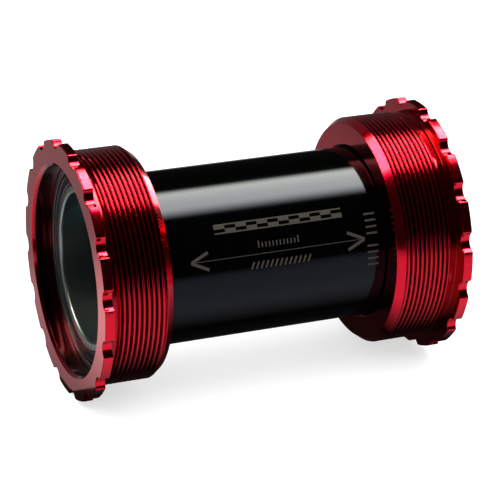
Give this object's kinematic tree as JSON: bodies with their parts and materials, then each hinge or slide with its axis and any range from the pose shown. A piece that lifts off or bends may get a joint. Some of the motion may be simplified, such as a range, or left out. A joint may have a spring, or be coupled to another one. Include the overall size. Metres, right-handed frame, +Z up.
{
  "type": "bottom bracket",
  "caption": "Threaded bicycle bottom bracket: notched, flanged bearing cups screwed in from each side and a plain sleeve between them, round a through bore for the crank spindle.",
  "frame": {"origin": "on the spindle axis, midway between the two cups' outer faces", "axes": "+X along the spindle axis towards the drive-side (right) cup, +Z up when the bracket lies in its shell, +Y across"},
  "size_m": [0.0772, 0.0522, 0.0522],
  "materials": {
    "red_anodised": "turned and anodised red, satin to glossy",
    "black_anodised": "black anodised aluminium tube, glossy",
    "bearing_steel": "ground and polished steel",
    "seal_rubber": "moulded nitrile rubber",
    "cage_nylon": "moulded glass-filled nylon",
    "ball_ceramic": "lapped silicon nitride, mirror smooth"
  },
  "bodies": {
    "sleeve": {"centre_sleeve": "black_anodised"},
    "left_oring": {"left_sleeve_oring": "seal_rubber"},
    "left_cup": {"left_cup": "red_anodised", "left_bearing_outer_ring": "bearing_steel", "left_bearing_outer_seal": "seal_rubber", "left_bearing_inner_seal": "seal_rubber"},
    "left_inner_ring": {"left_bearing_inner_ring": "bearing_steel"},
    "left_ball_set": {"left_bearing_cage": "cage_nylon", "left_ball_01": "ball_ceramic", "left_ball_02": "ball_ceramic", "left_ball_03": "ball_ceramic", "left_ball_04": "ball_ceramic", "left_ball_05": "ball_ceramic", "left_ball_06": "ball_ceramic", "left_ball_07": "ball_ceramic", "left_ball_08": "ball_ceramic", "left_ball_09": "ball_ceramic", "left_ball_10": "ball_ceramic", "left_ball_11": "ball_ceramic", "left_ball_12": "ball_ceramic", "left_ball_13": "ball_ceramic", "left_ball_14": "ball_ceramic", "left_ball_15": "ball_ceramic", "left_ball_16": "ball_ceramic", "left_ball_17": "ball_ceramic", "left_ball_18": "ball_ceramic"},
    "right_oring": {"right_sleeve_oring": "seal_rubber"},
    "right_cup": {"right_cup": "red_anodised", "right_bearing_outer_ring": "bearing_steel", "right_bearing_outer_seal": "seal_rubber", "right_bearing_inner_seal": "seal_rubber"},
    "right_inner_ring": {"right_bearing_inner_ring": "bearing_steel"},
    "right_ball_set": {"right_bearing_cage": "cage_nylon", "right_ball_01": "ball_ceramic", "right_ball_02": "ball_ceramic", "right_ball_03": "ball_ceramic", "right_ball_04": "ball_ceramic", "right_ball_05": "ball_ceramic", "right_ball_06": "ball_ceramic", "right_ball_07": "ball_ceramic", "right_ball_08": "ball_ceramic", "right_ball_09": "ball_ceramic", "right_ball_10": "ball_ceramic", "right_ball_11": "ball_ceramic", "right_ball_12": "ball_ceramic", "right_ball_13": "ball_ceramic", "right_ball_14": "ball_ceramic", "right_ball_15": "ball_ceramic", "right_ball_16": "ball_ceramic", "right_ball_17": "ball_ceramic", "right_ball_18": "ball_ceramic"}
  },
  "joints": [
    {"name": "left_cup_slide", "type": "slide", "parent": "sleeve", "child": "left_oring", "axis": [-1, 0, 0], "range_m": [0, 0.0025]},
    {"name": "left_cup_turn", "type": "hinge", "parent": "left_oring", "child": "left_cup", "pos_m": [-0.0247, 0, 0], "axis": [-1, 0, 0], "range_deg": [0, 900]},
    {"name": "left_bearing_spin", "type": "hinge", "parent": "left_cup", "child": "left_inner_ring", "pos_m": [-0.0311, 0, 0], "axis": [1, 0, 0], "continuous": true},
    {"name": "left_ball_orbit", "type": "hinge", "parent": "left_cup", "child": "left_ball_set", "pos_m": [-0.0311, 0, 0], "axis": [1, 0, 0], "continuous": true},
    {"name": "right_cup_slide", "type": "slide", "parent": "sleeve", "child": "right_oring", "axis": [1, 0, 0], "range_m": [0, 0.0025]},
    {"name": "right_cup_turn", "type": "hinge", "parent": "right_oring", "child": "right_cup", "pos_m": [0.0247, 0, 0], "axis": [-1, 0, 0], "range_deg": [0, 900]},
    {"name": "right_bearing_spin", "type": "hinge", "parent": "right_cup", "child": "right_inner_ring", "pos_m": [0.0311, 0, 0], "axis": [1, 0, 0], "continuous": true},
    {"name": "right_ball_orbit", "type": "hinge", "parent": "right_cup", "child": "right_ball_set", "pos_m": [0.0311, 0, 0], "axis": [1, 0, 0], "continuous": true}
  ],
  "couplings": [
    {"joint": "left_cup_slide", "follows": "left_cup_turn", "m_per_rad": 0.00015915},
    {"joint": "left_ball_orbit", "follows": "left_bearing_spin", "ratio": 0.4514},
    {"joint": "right_cup_slide", "follows": "right_cup_turn", "m_per_rad": 0.00015915},
    {"joint": "right_ball_orbit", "follows": "right_bearing_spin", "ratio": 0.4514}
  ]
}
